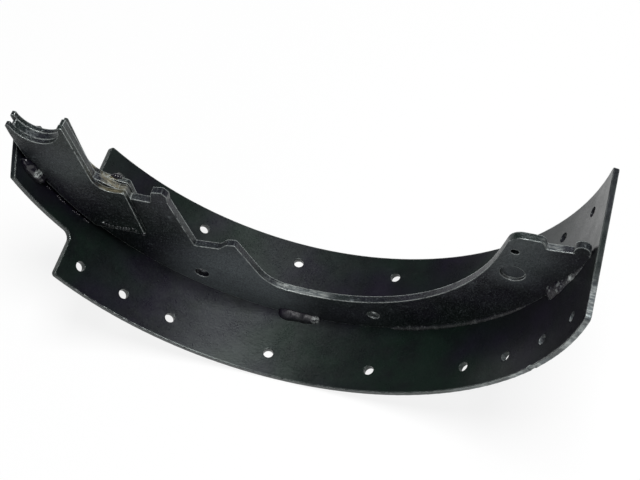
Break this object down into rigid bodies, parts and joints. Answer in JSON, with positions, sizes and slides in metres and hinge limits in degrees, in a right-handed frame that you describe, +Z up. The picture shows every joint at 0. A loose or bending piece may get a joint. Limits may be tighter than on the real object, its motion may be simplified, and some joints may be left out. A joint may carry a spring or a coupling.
{
  "type": "drum brake shoe",
  "caption": "Bare drum brake shoe: curved steel table with rivet holes, flat inner web, half-round anchor seat between doubler plates, adjuster ledge at the far end.",
  "frame": {"origin": "Point of the lining face that the shoe rests on when it lies on its back, at mid-width of the table, straight under the centre of mass.", "axes": "+Y along the drum axis, from the front of the shoe to its rear; +Z up, towards the drum axis, which passes through x = 0, z = 179.4 mm; +X towards the adjuster end."},
  "size_m": [0.3508, 0.1016, 0.1614],
  "materials": {
    "shoe_table": "semi-gloss black paint over rolled steel sheet, worn bright at the rims",
    "shoe_web": "semi-gloss black paint over blanked steel plate, bright on the sheared edges",
    "doubler_plate": "semi-gloss black paint over steel plate, rubbed brown and bright on the edges",
    "weld_bead": "rough weld metal under thin black paint"
  },
  "bodies": {
    "root": {"shoe_table": "shoe_table", "shoe_web": "shoe_web", "front_doubler": "doubler_plate", "rear_doubler": "doubler_plate", "front_heel_weld": "weld_bead", "front_doubler_weld": "weld_bead", "front_middle_weld": "weld_bead", "front_long_weld": "weld_bead", "front_toe_weld": "weld_bead", "rear_heel_weld": "weld_bead", "rear_doubler_weld": "weld_bead", "rear_middle_weld": "weld_bead", "rear_long_weld": "weld_bead", "rear_toe_weld": "weld_bead"}
  },
  "joints": []
}
